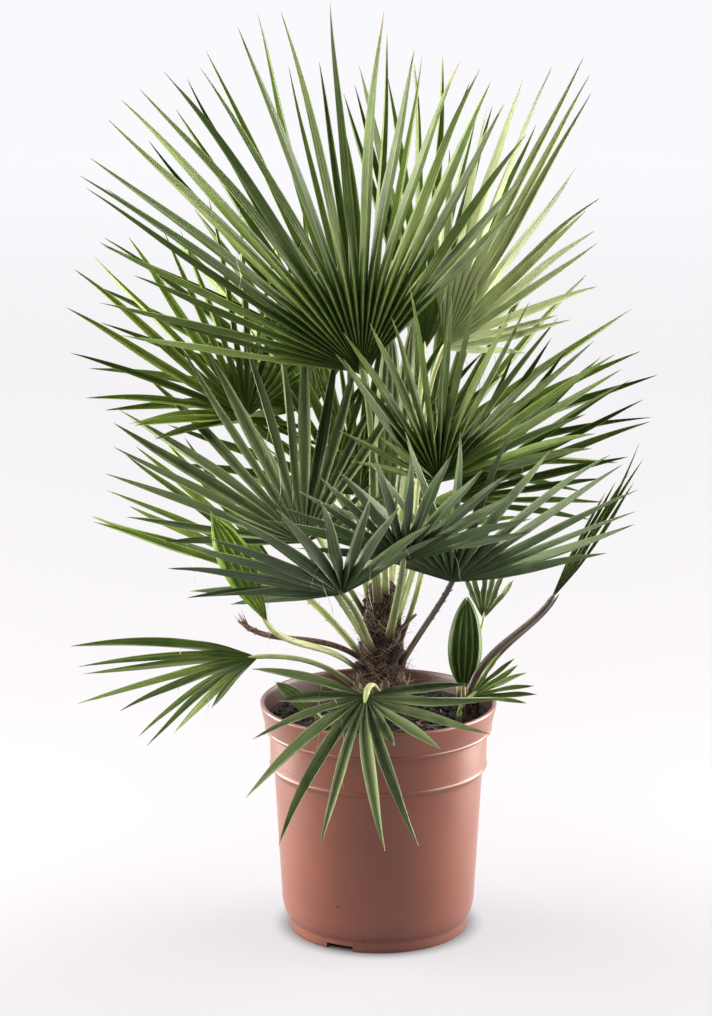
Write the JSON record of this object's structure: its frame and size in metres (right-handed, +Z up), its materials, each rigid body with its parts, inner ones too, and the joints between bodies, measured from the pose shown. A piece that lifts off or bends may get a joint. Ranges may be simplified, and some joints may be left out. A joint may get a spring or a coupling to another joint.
{
  "type": "potted fan palm",
  "caption": "Bushy fan palm with V-folded leaf blades on spiny stalks, growing from a short fibrous trunk in a round nursery pot of soil, for standing on a floor.",
  "frame": {"origin": "middle of the pot's foot, on the floor", "axes": "+Z up along the pot's axis; the plant's front faces -Y and its right hand side, as the viewer sees it, is +X"},
  "size_m": [0.636, 0.5688, 1.0199],
  "materials": {
    "terracotta_plastic": "satin injection-moulded plastic",
    "potting_soil": "damp crumbly peat",
    "fibrous_trunk": "rough and fibrous",
    "leaf_green": "satin",
    "leaf_blue_green": "satin with a grey bloom",
    "leaf_pale": "satin",
    "leaf_bright": "satin",
    "leaf_dry": "dry and matt"
  },
  "bodies": {
    "root": {"pot": "terracotta_plastic", "soil": "potting_soil", "trunk": "fibrous_trunk", "frond_crown_front": "leaf_green", "frond_over_rim": "leaf_green", "frond_low_left": "leaf_green", "frond_centre_front": "leaf_blue_green", "frond_front_low": "leaf_blue_green", "frond_mid_left": "leaf_blue_green", "frond_right": "leaf_green", "frond_right_low": "leaf_blue_green", "frond_left": "leaf_green", "frond_right_high": "leaf_pale", "frond_right_back": "leaf_green", "frond_crown_mid": "leaf_green", "frond_crown_right": "leaf_green", "frond_left_back": "leaf_green", "frond_back_left": "leaf_green", "frond_back_right": "leaf_green", "frond_back_low": "leaf_green", "frond_back_centre": "leaf_green", "spear_front": "leaf_pale", "spear_back": "leaf_pale", "young_leaf_left": "leaf_bright", "young_leaf_rim": "leaf_bright", "sucker_leaf_left": "leaf_green", "sucker_fan_pale": "leaf_pale", "sucker_fan_tall": "leaf_green", "sucker_fan_low": "leaf_green", "dry_stalk": "leaf_dry"}
  },
  "joints": []
}
